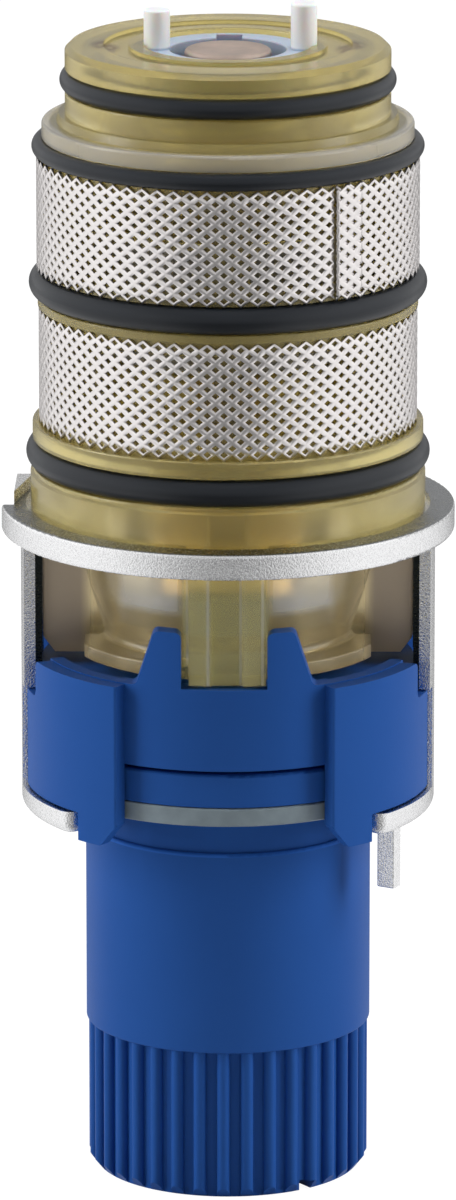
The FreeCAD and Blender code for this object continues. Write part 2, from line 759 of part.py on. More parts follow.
def end_cap():
    """Amber cap with a spigot, the upper seat tube, a seal groove and the outlet opening."""
    floor = groove_floor(cap_oring_radius, cap_oring_section)
    half_groove = (cap_oring_section + groove_play) / 2
    spigot_radius = chamber_radius - running_gap
    spigot_bottom = housing_top - cap_spigot_length
    bead_z = housing_top - cap_spigot_length / 2
    bead = cap_bead_height - running_gap
    body = turned([
        (seat_tube_radius, upper_seat_z, soft_edge), (seat_tube_outer, upper_seat_z),
        (seat_tube_outer, spigot_bottom), (spigot_radius, spigot_bottom),
        (spigot_radius, bead_z - bead), (spigot_radius + bead, bead_z),
        (spigot_radius, bead_z + bead), (spigot_radius, housing_top),
        (cap_flange_radius, housing_top, fine_edge),
        (cap_flange_radius, cap_flange_top, soft_edge),
        (cap_step_radius, cap_flange_top), (cap_step_radius - face_gap, cap_step_top),
        (cap_radius, cap_step_top), (cap_radius, cap_oring_z - half_groove, fine_edge),
        (floor, cap_oring_z - half_groove), (floor, cap_oring_z + half_groove),
        (cap_radius, cap_oring_z + half_groove, fine_edge),
        (cap_radius, cap_top - cap_top_chamfer),
        (cap_radius - cap_top_chamfer, cap_top), (cap_ring_groove_outer, cap_top),
        (cap_ring_groove_outer, cap_top - cap_ring_groove_depth),
        (cap_ring_groove_inner, cap_top - cap_ring_groove_depth),
        (cap_ring_groove_inner, cap_top), (cap_opening_radius, cap_top, fine_edge),
        (cap_opening_radius, cap_ceiling), (seat_tube_radius, cap_ceiling)])
    cuts = []
    for x in (-left_pin_offset, right_pin_offset):
        cuts.append(Part.makeCylinder(pin_radius + side_gap, cap_top_wall + 2 * overshoot,
                                      Vector(x, 0, cap_ceiling - overshoot)))
    return body.cut(cuts).removeSplitter()


def pin_insert():
    """White ring held in the cap by the return spring, slotted, with two upright pins."""
    insert_flange_radius = cap_opening_radius + insert_flange_width
    body = turned([
        (insert_bore_radius, insert_bottom), (insert_flange_radius, insert_bottom),
        (insert_flange_radius, cap_ceiling), (insert_radius, cap_ceiling),
        (insert_radius, insert_top, fine_edge), (insert_bore_radius, insert_top, fine_edge)])
    slots = [block(insert_slot_width, insert_bore_radius - overshoot,
                   insert_radius - insert_slot_wall, cap_ceiling, insert_top + overshoot, angle)
             for angle in (0, 180)]
    left = Part.makeCylinder(pin_radius, cap_top + left_pin_height - insert_bottom,
                             Vector(-left_pin_offset, 0, insert_bottom))
    right = Part.makeCylinder(pin_radius, cap_top + right_pin_height - insert_bottom,
                              Vector(right_pin_offset, 0, insert_bottom))
    left = left.makeFillet(fine_edge, [edge for edge in left.Edges
                                       if edge.BoundBox.ZMin > cap_top])
    right = right.makeFillet(soft_edge, [edge for edge in right.Edges
                                         if edge.BoundBox.ZMin > cap_top])
    return fused([body.cut(slots), left, right])


def filter_screen(radius, bottom, top, seam):
    """Sleeve of expanded metal: diamonds in staggered rows, with its overlap seam."""
    sleeve = tube(radius - screen_thickness, radius, bottom, top)
    pitch = 360.0 / screen_columns
    row_height = (top - bottom - 2 * screen_margin) / (screen_rows + 1)
    half_width = radius * math.radians(pitch) / 2 * screen_open_share
    half_height = row_height * screen_open_share
    diamond = Part.Face(Part.makePolygon([
        Vector(-half_width, 0, 0), Vector(0, 0, -half_height), Vector(half_width, 0, 0),
        Vector(0, 0, half_height), Vector(-half_width, 0, 0)]))
    diamond.translate(Vector(0, -radius - overshoot, 0))
    prism = diamond.extrude(Vector(0, 2 * overshoot + screen_thickness, 0))
    cutters = []
    for row in range(screen_rows):
        height = bottom + screen_margin + (row + 1) * row_height
        for column in range(screen_columns):
            cutter = prism.copy()
            cutter.translate(Vector(0, 0, height))
            cutter.rotate(Vector(0, 0, 0), AXIS, (column + 0.5 * (row % 2)) * pitch)
            cutters.append(cutter)
    sleeve = sleeve.cut(Part.makeCompound(cutters))
    if seam:
        lap = sector(radius - screen_thickness / 2, radius + screen_seam_lift, bottom, top,
                     screen_seam_start, screen_seam_end)
        sleeve = sleeve.fuse(lap.cut(Part.makeCompound(cutters)))
    return sleeve.removeSplitter()


def wax_element():
    """Copper cup with the crimped flange that pushes the control slide."""
    return turned([
        (0, element_flange_bottom), (element_flange_radius, element_flange_bottom, soft_edge),
        (element_flange_radius, slide_hub_bottom, soft_edge), (cup_radius, slide_hub_bottom),
        (cup_radius, cup_top, cup_edge_radius), (0, cup_top)])


def element_guide():
    """Brass neck with the blind bore in which the piston slides."""
    bore_top = element_flange_bottom - piston_bore_end
    return turned([
        (0, bore_top), (piston_bore_radius, bore_top),
        (piston_bore_radius, element_guide_bottom),
        (element_guide_radius, element_guide_bottom, soft_edge),
        (element_guide_radius, element_flange_bottom), (0, element_flange_bottom)])


def element_piston():
    """Steel pin between the wax and the overload plunger."""
    return turned([
        (0, piston_bottom), (piston_radius, piston_bottom, fine_edge),
        (piston_radius, piston_top, soft_edge), (0, piston_top)])


def control_slide():
    """Ring that slides in the housing's web, with its hub on spokes."""
    floor = groove_floor(slide_seal_radius, slide_seal_section)
    half_groove = (slide_seal_section + groove_play) / 2
    hub_bore = cup_radius + running_gap
    ring = turned([
        (slide_bore, slide_bottom), (slide_radius, slide_bottom, soft_edge),
        (slide_radius, slide_middle - half_groove), (floor, slide_middle - half_groove),
        (floor, slide_middle + half_groove), (slide_radius, slide_middle + half_groove),
        (slide_radius, slide_top, soft_edge), (slide_bore, slide_top)])
    hub = tube(hub_bore, slide_hub_radius, slide_hub_bottom, slide_hub_top)
    spokes = [block(spoke_width, slide_hub_radius - sunk, slide_bore + sunk, slide_hub_bottom,
                    slide_hub_top, (turn + 0.5) * 360.0 / spoke_count)
              for turn in range(spoke_count)]
    return fused([ring, hub] + spokes)


def regulating_screw():
    """Sleeve that the spindle moves up and down, with two keys and a groove at its top."""
    groove_radius = screw_bore_radius + ring_groove_depth
    body = turned([
        (screw_vent_radius, screw_bottom), (screw_radius, screw_bottom, soft_edge),
        (screw_radius, screw_top, soft_edge), (screw_bore_radius, screw_top),
        (screw_bore_radius, snap_ring_top + running_gap),
        (groove_radius, snap_ring_top + running_gap),
        (groove_radius, snap_ring_bottom - running_gap / 2),
        (screw_bore_radius, snap_ring_bottom - running_gap / 2),
        (screw_bore_radius, screw_bottom + screw_floor),
        (screw_vent_radius, screw_bottom + screw_floor)])
    keys = [block(screw_key_width, screw_radius - sunk, screw_radius + screw_key_reach,
                  screw_top - screw_key_height, screw_top - soft_edge, housing_turn + angle)
            for angle in (0, 180)]
    return fused([body] + keys)


def overload_plunger():
    """Plunger on the overload spring, with a recess for the piston and a centring boss."""
    recess_radius = piston_radius + running_gap
    return turned([
        (0, plunger_bottom - plunger_boss_length),
        (plunger_boss_radius, plunger_bottom - plunger_boss_length, soft_edge),
        (plunger_boss_radius, plunger_bottom), (plunger_radius, plunger_bottom),
        (plunger_radius, plunger_top, fine_edge), (recess_radius, plunger_top),
        (recess_radius, piston_bottom), (0, piston_bottom)])


def plunger_retaining_ring():
    """Open ring in the groove of the regulating screw."""
    outer = screw_bore_radius + ring_groove_depth - running_gap
    ring = tube(outer - snap_ring_width, outer, snap_ring_bottom, snap_ring_top)
    return ring.cut(sector(outer - 2 * snap_ring_width, outer + overshoot,
                           snap_ring_bottom - overshoot, snap_ring_top + overshoot,
                           180 - snap_ring_opening / 2, 180 + snap_ring_opening / 2))


def return_spring():
    """Spring between the pin insert and the control slide's hub."""
    return coil(return_spring_radius, return_wire, return_turns, slide_hub_top, insert_bottom)


def overload_spring():
    """Spring between the regulating screw's floor and the plunger."""
    return coil(overload_spring_radius, overload_wire, overload_turns,
                screw_bottom + screw_floor, plunger_bottom)


def parts():
    """Every sub-part by its node name."""
    return {
        "housing": housing(),
        "end_cap": end_cap(),
        "end_cap_oring": oring(cap_oring_radius, cap_oring_section, cap_oring_z),
        "upper_oring": oring(upper_oring_radius, upper_oring_section, upper_oring_z),
        "middle_oring": oring(middle_oring_radius, main_oring_section, middle_oring_z),
        "lower_oring": oring(lower_oring_radius, main_oring_section, lower_oring_z),
        "upper_filter_screen": filter_screen(upper_screen_radius, upper_seat_bottom,
                                             upper_seat_top, True),
        "lower_filter_screen": filter_screen(lower_screen_radius, lower_seat_bottom,
                                             lower_seat_top, False),
        "pin_insert": pin_insert(),
        "wax_element": wax_element(),
        "element_guide": element_guide(),
        "element_piston": element_piston(),
        "control_slide": control_slide(),
        "slide_seal": oring(slide_seal_radius, slide_seal_section, slide_middle),
        "return_spring": return_spring(),
        "retaining_frame": retaining_frame(),
        "stop_ring": stop_ring(),
        "slide_washer": slide_washer(),
        "temperature_spindle": temperature_spindle(),
        "spindle_oring": oring(skirt_bore - seal_gap, spindle_oring_section, spindle_oring_z),
        "regulating_screw": regulating_screw(),
        "overload_spring": overload_spring(),
        "overload_plunger": overload_plunger(),
        "plunger_retaining_ring": plunger_retaining_ring(),
    }


def main():
    os.makedirs("parts", exist_ok=True)
    for name, shape in parts().items():
        shape.exportStep(os.path.join("parts", name + ".step"))
        print(name, shape.ShapeType, len(shape.Solids), round(shape.Volume, 2), shape.isValid())


main()
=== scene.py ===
"""Looks of a thermostatic tap cartridge that stands on its splined spindle end."""

import math

import bpy
from bpy.props import FloatProperty, FloatVectorProperty, IntProperty, PointerProperty
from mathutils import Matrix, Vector


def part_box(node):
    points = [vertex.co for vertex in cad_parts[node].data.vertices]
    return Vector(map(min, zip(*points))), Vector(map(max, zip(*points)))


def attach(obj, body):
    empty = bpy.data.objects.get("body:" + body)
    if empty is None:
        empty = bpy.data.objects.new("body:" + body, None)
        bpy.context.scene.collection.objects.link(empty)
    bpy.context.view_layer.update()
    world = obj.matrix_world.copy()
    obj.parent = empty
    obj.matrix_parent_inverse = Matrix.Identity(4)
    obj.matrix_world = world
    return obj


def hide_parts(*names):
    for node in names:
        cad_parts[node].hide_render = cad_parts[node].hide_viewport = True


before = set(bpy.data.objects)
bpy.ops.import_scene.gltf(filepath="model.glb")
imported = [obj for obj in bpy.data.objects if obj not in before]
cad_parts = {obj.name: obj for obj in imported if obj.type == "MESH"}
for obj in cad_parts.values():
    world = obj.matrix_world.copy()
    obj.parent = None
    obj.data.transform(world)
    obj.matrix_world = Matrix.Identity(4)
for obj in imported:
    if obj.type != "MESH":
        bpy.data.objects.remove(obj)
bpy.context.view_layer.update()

bl_info = {
    "name": "Tap Cartridge",
    "version": (1, 0, 0),
    "blender": (4, 5, 0),
    "location": "View3D > Sidebar > Cartridge",
    "description": "Finishes, filter screens, seals and studio of a thermostatic tap cartridge",
    "category": "Object",
}

MM = 0.001
UPPER_LOW, UPPER_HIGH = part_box("upper_filter_screen")
LOWER_LOW, LOWER_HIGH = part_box("lower_filter_screen")

# Heights and distances from the axis, or from the front plane, where a finish changes
CONE_RADIUS = 12.5 * MM
FLANGE_MIDDLE = 59.5 * MM
FLANK_SPAN = (3.9 * MM, 9.3 * MM)
FLANK_BOTTOM = 53.2 * MM
KEY_HALF_WIDTH = 3.7 * MM
KEY_RIB_MIDDLE = 2.37 * MM
KEY_RIB_HALF_WIDTH = 0.96 * MM
CAP_FLANGE_RADIUS = 15.6 * MM
CAP_FLANGE_SPAN = (93.5 * MM, 95.2 * MM)
CAP_FACE = 101.2 * MM
PATCH_PLACE = (10.7 * MM, -0.7 * MM)
PATCH_SIZE = (1.4 * MM, 2.4 * MM)
BARREL_EDGE_SPAN = (31.5 * MM, 31.85 * MM)
BARREL_INSIDE = 12.3 * MM
FLANGE_FACE_SPAN = (60.62 * MM, 60.78 * MM)
LEG_FACE_SPAN = (44.8 * MM, 58.3 * MM)
LEG_FACE_RADIUS = 17.29 * MM
PIN_FOOT = 101.4 * MM

# Colours of details
CONE_DARK = (0.58, 0.46, 0.24)
CONE_LIGHT = (0.74, 0.62, 0.36)
KEY_AMBER = (0.88, 0.80, 0.40)
# Painted highlight along the key's edges
KEY_EDGE_HIGHLIGHT = (1.0, 0.97, 0.82)
# Painted shade of the recesses in the cap's face, speckled
RECESS_SHADE_BROWN = (0.20, 0.11, 0.02)
# Painted shade on the flange's top face, standing for the dark that it reflects
METAL_TOP_SHADE = (0.30, 0.31, 0.32)
# Painted shade inside the legs, on the leg fillers too
METAL_INSIDE_SHADE = (0.035, 0.04, 0.036)
INSERT_SHADE = (0.42, 0.50, 0.62)
BRASS = (0.72, 0.54, 0.26)
STEEL = (0.62, 0.62, 0.64)
SLIDE = (0.60, 0.57, 0.48)

# The overlap of the upper screen: shares of the sheet's thickness and of a diamond's width
OVERLAP_THICKNESS = 0.8
OVERLAP_SHIFT = 0.3
FILLER_STEPS = 10

# Stage: the softboxes' places, sizes and powers, the side of the room that is bright in the
# gloss, and the floor's grey and glow
SOFTBOXES = (
    ("softbox_left", (-0.74, -0.11, 0.27), (0.3, 0.9), "softbox_power"),
    ("softbox_right", (0.74, -0.11, 0.27), (0.3, 0.9), "softbox_power"),
    ("softbox_top", (0.0, 0.0, 0.9), (0.5, 0.5), "top_power"),
)
SIDE_EDGE = 0.55
SIDE_SOFTNESS = 0.4
FLOOR_SIZE = 6.0
FLOOR_GREY = (0.65, 0.65, 0.65)
FLOOR_GLOW = 1.2
FLOOR_GLOW_SHARE = 0.8


class ScreenSettings(bpy.types.PropertyGroup):
    """Sizes of the expanded metal screens."""
    upper_radius: FloatProperty(
        name="Upper radius", description="Outer radius of the upper screen",
        default=16.8 * MM, unit="LENGTH")
    lower_radius: FloatProperty(
        name="Lower radius", description="Outer radius of the lower screen",
        default=-LOWER_LOW.x, unit="LENGTH")
    columns: IntProperty(
        name="Columns", description="Diamonds round a screen", default=72)
    rows: IntProperty(
        name="Rows", description="Diamonds up a screen", default=9)
    strand: FloatProperty(
        name="Strand", description="Width of the strands between two diamonds",
        default=0.44 * MM, unit="LENGTH")
    thickness: FloatProperty(
        name="Thickness", description="Thickness of the sheet",
        default=0.24 * MM, unit="LENGTH")
    seam_start: FloatProperty(
        name="Seam start", description="Start of the overlap, from the front",
        default=math.radians(35.0), subtype="ANGLE")
    seam_end: FloatProperty(
        name="Seam end", description="End of the overlap, from the front",
        default=math.radians(44.2), subtype="ANGLE")
    seam_slit: FloatProperty(
        name="Seam slit", description="Open slit in front of the overlap",
        default=0.22 * MM, unit="LENGTH")


class FillerSettings(bpy.types.PropertyGroup):
    """Sizes of the fillers, dark with painted shade, that close the slit between a leg and the stop
    ring.
    """
    inner_radius: FloatProperty(
        name="Inner radius", description="Just outside the stop ring's band",
        default=16.54 * MM, unit="LENGTH")
    outer_radius: FloatProperty(
        name="Outer radius", description="Just inside the leg's inner face",
        default=17.28 * MM, unit="LENGTH")
    bottom: FloatProperty(
        name="Bottom", description="Height of the lower end", default=45.0 * MM, unit="LENGTH")
    top: FloatProperty(
        name="Top", description="Height of the upper end, under the leg's inner rib",
        default=47.88 * MM, unit="LENGTH")
    half_angle: FloatProperty(
        name="Half angle", description="Half of the arc that a filler covers",
        default=math.radians(7.0), subtype="ANGLE")


class FinishSettings(bpy.types.PropertyGroup):
    """Colours of the cartridge's materials."""
    amber: FloatVectorProperty(
        name="Amber", description="See-through housing and end cap", subtype="COLOR",
        size=3, default=(0.73, 0.62, 0.25), min=0, max=1)
    # Painted light: pale amber on the cone's upper flanks and the cap's rim
    painted_light_amber: FloatVectorProperty(
        name="Painted light amber", description="The cone's upper flanks and the cap's rim, which look pale",
        subtype="COLOR", size=3, default=(0.97, 0.92, 0.80), min=0, max=1)
    # Painted shade: dark amber on the housing's two wings
    painted_shade_amber: FloatVectorProperty(
        name="Painted shade amber", description="The housing's two wings, which are solid",
        subtype="COLOR", size=3, default=(0.34, 0.28, 0.21), min=0, max=1)
    blue: FloatVectorProperty(
        name="Blue", description="Spindle and stop ring", subtype="COLOR",
        size=3, default=(0.021, 0.094, 0.360), min=0, max=1)
    rubber: FloatVectorProperty(
        name="Rubber", description="Seal rings", subtype="COLOR",
        size=3, default=(0.010, 0.013, 0.018), min=0, max=1)
    cast_metal: FloatVectorProperty(
        name="Cast metal", description="Retaining frame", subtype="COLOR",
        size=3, default=(0.97, 0.97, 0.98), min=0, max=1)
    screen_metal: FloatVectorProperty(
        name="Screen metal", description="Filter screens", subtype="COLOR",
        size=3, default=(0.95, 0.91, 0.90), min=0, max=1)
    washer: FloatVectorProperty(
        name="Washer", description="Slide washer", subtype="COLOR",
        size=3, default=(0.20, 0.25, 0.28), min=0, max=1)
    white: FloatVectorProperty(
        name="White", description="Pin insert", subtype="COLOR",
        size=3, default=(0.92, 0.96, 1.0), min=0, max=1)
    copper: FloatVectorProperty(
        name="Copper", description="Wax element's cup", subtype="COLOR",
        size=3, default=(0.55, 0.44, 0.38), min=0, max=1)


class StageSettings(bpy.types.PropertyGroup):
    """Camera and lamps."""
    target_height: FloatProperty(
        name="Target height", description="Point on the axis that the camera looks at",
        default=0.0516, unit="LENGTH")
    camera_distance: FloatProperty(
        name="Camera distance", description="From the target to the camera",
        default=0.82, unit="LENGTH")
    camera_pitch: FloatProperty(
        name="Camera pitch", description="How far the camera looks down",
        default=math.radians(14.5), subtype="ANGLE")
    camera_lens: FloatProperty(
        name="Lens", description="Focal length in millimetres", default=278.0)
    camera_turn: FloatProperty(
        name="Camera turn", description="How far the camera stands to the right of the front",
        default=math.radians(1.2), subtype="ANGLE")
    softbox_power: FloatProperty(
        name="Softbox power", description="Power of each side softbox in watts", default=5.8)
    top_power: FloatProperty(
        name="Top power", description="Power of the top softbox in watts", default=4.0)
    ambient: FloatProperty(
        name="Ambient", description="Strength of the surrounding light", default=0.09)
    dark_card: FloatProperty(
        name="Dark card", description="Brightness of the floor in front and behind, "
        "which the gloss shows between the two softboxes", default=0.1)
    back_light: FloatProperty(
        name="Back light", description="Brightness of the room behind and above, "
        "which upward faces show in their gloss", default=0.45)


def plug(tree, socket, value):
    """Links a shader value to a socket, or sets a plain value on it."""
    if isinstance(value, Value):
        tree.links.new(value.socket, socket)
    else:
        socket.default_value = value


class Value:
    """A shader socket that takes part in Python arithmetic."""

    def __init__(self, tree, socket):
        self.tree = tree
        self.socket = socket

    def combined(self, operation, *terms):
        """A maths node on the terms, in their order."""
        node = self.tree.nodes.new("ShaderNodeMath")
        node.operation = operation
        for socket, term in zip(node.inputs, terms):
            plug(self.tree, socket, term)
        return Value(self.tree, node.outputs[0])

    def __add__(self, other):
        return self.combined("ADD", self, other)

    def __radd__(self, other):
        return self.combined("ADD", self, other)

    def __sub__(self, other):
        return self.combined("SUBTRACT", self, other)

    def __rsub__(self, other):
        return self.combined("SUBTRACT", other, self)

    def __mul__(self, other):
        return self.combined("MULTIPLY", self, other)

    def __truediv__(self, other):
        return self.combined("DIVIDE", self, other)

    def __pow__(self, other):
        return self.combined("POWER", self, other)

    def __abs__(self):
        return self.combined("ABSOLUTE", self)

    def at_least(self, limit):
        return self.combined("MAXIMUM", self, limit)

    def at_most(self, limit):
        return self.combined("MINIMUM", self, limit)

    def above(self, edge, softness):
        """0 below an edge and 1 above it, with a soft step."""
        return ((self - (edge - softness / 2)) / softness).at_least(0.0).at_most(1.0)

    def between(self, low, high, softness):
        """1 between two edges, with soft steps."""
        return self.above(low, softness) * (1.0 - self.above(high, softness))


class Finish:
    """A node tree whose nodes are added by one method."""

    def __init__(self, tree, output="ShaderNodeOutputMaterial"):
        self.tree = tree
        self.tree.nodes.clear()
        self.output = self.tree.nodes.new(output)

    def node(self, kind, settings=None, inputs=None, output=0):
        """Adds a node: its settings first, then its sockets' values or links."""
        node = self.tree.nodes.new("ShaderNode" + kind)
        for key, value in (settings or {}).items():
            setattr(node, key, value)
        for key, value in (inputs or {}).items():
            plug(self.tree, node.inputs[key], value)
        return Value(self.tree, node.outputs[output])

    def place(self):
        return self.node("TexCoord", output="Object")

    def along(self, axis):
        """Coordinate along one axis, in metres."""
        return self.node("SeparateXYZ", inputs={0: self.place()}, output=axis)

    def radius(self):
        """Distance from the cartridge's axis."""
        return (self.along("X") ** 2.0 + self.along("Y") ** 2.0) ** 0.5

    def noise(self, scale, detail=2.0, roughness=0.5, stretch=(1.0, 1.0, 1.0)):
        """Noise of a number of features per metre."""
        mapped = self.node("Mapping", inputs={"Vector": self.place(), "Scale": stretch})
        return self.node("TexNoise", inputs={
            "Vector": mapped, "Scale": scale, "Detail": detail, "Roughness": roughness})

    def mix(self, factor, first, second, blend="MIX"):
        """Mixes two colours."""
        return self.node("Mix", {"data_type": "RGBA", "blend_type": blend}, {
            "Factor": factor, 6: first, 7: second}, output=2)

    def greys(self, factor, *stops):
        """Grey between two stops, each a place and a brightness."""
        ramp = self.node("ValToRGB", inputs={"Fac": factor})
        for element, (place, grey) in zip(ramp.socket.node.color_ramp.elements, stops):
            element.position = place
            element.color = (grey, grey, grey, 1.0)
        return ramp

    def rays(self):
        """1 for rays from the camera or through glass, and 1 for gloss."""
        seen, through, glossy = (
            self.node("LightPath", output=f"Is {kind} Ray")
            for kind in ("Camera", "Transmission", "Glossy"))
        return (seen + through).at_most(1.0), glossy

    def bump(self, height, strength, distance):
        return self.node("Bump", inputs={
            "Height": height, "Strength": strength, "Distance": distance})

    def surface(self, **inputs):
        """The principled shader, by socket names with underscores."""
        named = {key.replace("_", " "): value for key, value in inputs.items()}
        self.finish(self.node("BsdfPrincipled", inputs=named))

    def finish(self, shader):
        """Ends the tree with its shader."""
        self.tree.links.new(shader.socket, self.output.inputs["Surface"])


def new_finish(name):
    """An empty material and the tree that its nodes go into."""
    material = bpy.data.materials.new("finished_" + name)
    material.use_nodes = True
    return Finish(material.node_tree)


def shade(rgb, share=1.0):
    """A colour times a share, as a socket takes it."""
    return (*(min(1.0, part * share) for part in rgb), 1.0)


def cone_colour(finish, cloud, aside, height, painted_light):
    """Amber below the flange: the cone, its flanks made pale by painted light and the key with
    painted highlights on its edges.
    """
    key = 1.0 - aside.above(KEY_HALF_WIDTH, 0.3 * MM)
    # Painted light: the cone's upper flanks are painted pale
    flank = aside.between(*FLANK_SPAN, 0.7 * MM) * height.above(FLANK_BOTTOM, 0.8 * MM)
    from_edge = abs(abs(aside - KEY_RIB_MIDDLE) - KEY_RIB_HALF_WIDTH)
    # Painted highlights along the key's edges
    edge = (1.0 - from_edge.above(0.12 * MM, 0.08 * MM)) * key
    base = finish.mix(cloud, shade(CONE_DARK), shade(CONE_LIGHT))
    base = finish.mix(key, base, shade(KEY_AMBER))
    base = finish.mix(flank, base, shade(painted_light))
    return finish.mix(edge, base, shade(KEY_EDGE_HIGHLIGHT))


def cap_recess_shade(finish, aside, height):
    """Mask of two speckled patches of painted shade on the cap's face, left and right of the
    opening, standing for the shade in its recesses.
    """
    across = ((aside - PATCH_PLACE[0]) / PATCH_SIZE[0]) ** 2.0
    along = ((finish.along("Y") - PATCH_PLACE[1]) / PATCH_SIZE[1]) ** 2.0
    speckle = finish.noise(2200.0, 3.0).above(0.42, 0.12)
    return (1.0 - (across + along).above(0.8, 0.9)) * height.above(CAP_FACE, 0.2 * MM) * speckle


def amber_moulding(rgb, painted_light, painted_shade):
    """See-through amber: clear above the flange, with painted shade that darkens the wings below
    it, and painted light that makes the cone's flanks and the cap's rim pale.
    """
    finish = new_finish("amber_moulding")
    cloud = finish.noise(180.0, 3.0)
    aside = abs(finish.along("X"))
    height = finish.along("Z")
    wing = aside.above(CONE_RADIUS, 1.0 * MM)
    below = 1.0 - height.above(FLANGE_MIDDLE, 1.5 * MM)
    rim = finish.radius().above(CAP_FLANGE_RADIUS, 0.3 * MM) * height.between(
        *CAP_FLANGE_SPAN, 0.2 * MM)
    base = finish.mix(cloud, shade(rgb, 0.82), shade(rgb))
    # Painted shade: the wings below the flange are painted dark
    lower = finish.mix(wing, cone_colour(finish, cloud, aside, height, painted_light), shade(painted_shade))
    base = finish.mix(below, base, lower)
    # Painted light: the cap's rim is painted pale
    base = finish.mix(rim, base, shade(painted_light))
    # Painted shade of the recesses in the cap's face
    base = finish.mix(cap_recess_shade(finish, aside, height), base, shade(RECESS_SHADE_BROWN))
    finish.surface(
        Base_Color=base, Roughness=0.16 + cloud * 0.14 + wing * below * 0.36,
        Transmission_Weight=0.72, IOR=1.5)


def blue_moulding(rgb):
    """Satin blue moulding with a very fine grain and a painted highlight along the barrel's top
    edge.
    """
    finish = new_finish("blue_moulding")
    patches = finish.noise(120.0, 2.0)
    grain = finish.noise(5200.0, 3.0)
    base = finish.mix(patches, shade(rgb, 0.92), shade(rgb))
    # Painted highlight along the barrel's top edge
    edge = finish.along("Z").between(*BARREL_EDGE_SPAN, 0.08 * MM) * finish.radius().above(
        BARREL_INSIDE, 0.1 * MM)
    base = finish.mix(edge * 0.6, base, shade(rgb, 1.9))
    finish.surface(
        Base_Color=base, Roughness=0.36 + grain * 0.12, Specular_IOR_Level=0.06,
        Normal=finish.bump(grain, 0.05, 0.0001))


def seal_rubber(rgb):
    """Black rubber with a greased sheen."""
    finish = new_finish("seal_rubber")
    film = finish.noise(260.0, 3.0)
    grain = finish.noise(3000.0, 2.0)
    base = finish.mix(film, shade(rgb, 0.8), shade(rgb))
    finish.surface(
        Base_Color=base, Roughness=0.26 + film * 0.2, Specular_IOR_Level=0.4,
        Normal=finish.bump(grain, 0.04, 0.0001))


def cast_metal(rgb):
    """Matt silver casting with a fine granular skin, and painted shade on the flange's top face and
    inside the legs.
    """
    finish = new_finish("cast_metal")
    grain = finish.noise(6500.0, 2.0, 0.6)
    speck = finish.greys(grain, (0.38, 0.8), (0.56, 1.0))
    base = finish.mix(0.7, shade(rgb), speck, "MULTIPLY")
    height = finish.along("Z")
    # Painted shade on the flange's top face
    top = height.between(*FLANGE_FACE_SPAN, 0.04 * MM)
    # Painted shade inside the legs and on the leg fillers
    inside = (1.0 - finish.radius().above(LEG_FACE_RADIUS, 0.02 * MM)) * height.between(
        *LEG_FACE_SPAN, 0.2 * MM)
    base = finish.mix(top, base, shade(METAL_TOP_SHADE))
    base = finish.mix(inside, base, shade(METAL_INSIDE_SHADE))
    finish.surface(
        Base_Color=base, Metallic=1.0, Roughness=0.18 + grain * 0.16,
        Normal=finish.bump(grain, 1.0, 0.00007))


def screen_metal(rgb):
    """Bright rolled metal of the expanded screens."""
    finish = new_finish("screen_metal")
    tone = finish.noise(900.0, 2.0)
    base = finish.mix(tone, shade(rgb, 0.85), shade(rgb))
    finish.surface(Base_Color=base, Metallic=1.0, Roughness=0.26 + tone * 0.14)


def washer_moulding(rgb):
    """Grey washer, faintly mottled."""
    finish = new_finish("washer_moulding")
    mottle = finish.noise(700.0, 3.0)
    base = finish.mix(mottle, shade(rgb, 0.8), shade(rgb, 1.35))
    finish.surface(Base_Color=base, Roughness=0.35 + mottle * 0.2)


def white_moulding(rgb):
    """Natural white moulding with some light passing through, shaded below the pins."""
    finish = new_finish("white_moulding")
    tone = finish.noise(300.0, 2.0)
    base = finish.mix(tone, shade(rgb, 0.95), shade(rgb))
    pins = finish.along("Z").above(PIN_FOOT, 0.2 * MM)
    base = finish.mix(pins, shade(INSERT_SHADE), base)
    finish.surface(
        Base_Color=base, Roughness=0.35 + tone * 0.1, Subsurface_Weight=0.4,
        Subsurface_Scale=0.0012)


def copper_metal(rgb):
    """Dull copper with tarnish."""
    finish = new_finish("copper_metal")
    tarnish = finish.noise(500.0, 4.0)
    base = finish.mix(tarnish, shade(rgb, 0.7), shade(rgb, 1.5))
    finish.surface(Base_Color=base, Metallic=0.8, Roughness=0.35 + tarnish * 0.25)


def plain_metal(name, rgb, low):
    """Turned brass or drawn wire with fine tool marks."""
    finish = new_finish(name)
    marks = finish.noise(1500.0, 2.0, stretch=(1.0, 1.0, 8.0))
    base = finish.mix(marks, shade(rgb, 0.85), shade(rgb))
    finish.surface(Base_Color=base, Metallic=1.0, Roughness=low + marks * 0.15)


def slide_moulding(rgb):
    """Pale moulding of the control slide."""
    finish = new_finish("slide_moulding")
    tone = finish.noise(250.0, 2.0)
    base = finish.mix(tone, shade(rgb, 0.9), shade(rgb))
    finish.surface(Base_Color=base, Roughness=0.4 + tone * 0.1)


NODE_FINISHES = {
    "housing": "amber_moulding", "end_cap": "amber_moulding",
    "end_cap_oring": "seal_rubber", "upper_oring": "seal_rubber",
    "middle_oring": "seal_rubber", "lower_oring": "seal_rubber",
    "slide_seal": "seal_rubber", "spindle_oring": "seal_rubber",
    "upper_filter_screen": "screen_metal", "lower_filter_screen": "screen_metal",
    "pin_insert": "white_moulding", "wax_element": "copper_metal",
    "element_guide": "brass", "regulating_screw": "brass", "overload_plunger": "brass",
    "element_piston": "steel", "return_spring": "steel", "overload_spring": "steel",
    "plunger_retaining_ring": "steel", "control_slide": "slide_moulding",
    "retaining_frame": "cast_metal", "stop_ring": "blue_moulding",
    "temperature_spindle": "blue_moulding", "slide_washer": "washer_moulding",
}


def give_finish(obj, name):
    """Puts one of the finishes on an object."""
    obj.data.materials.clear()
    obj.data.materials.append(bpy.data.materials["finished_" + name])


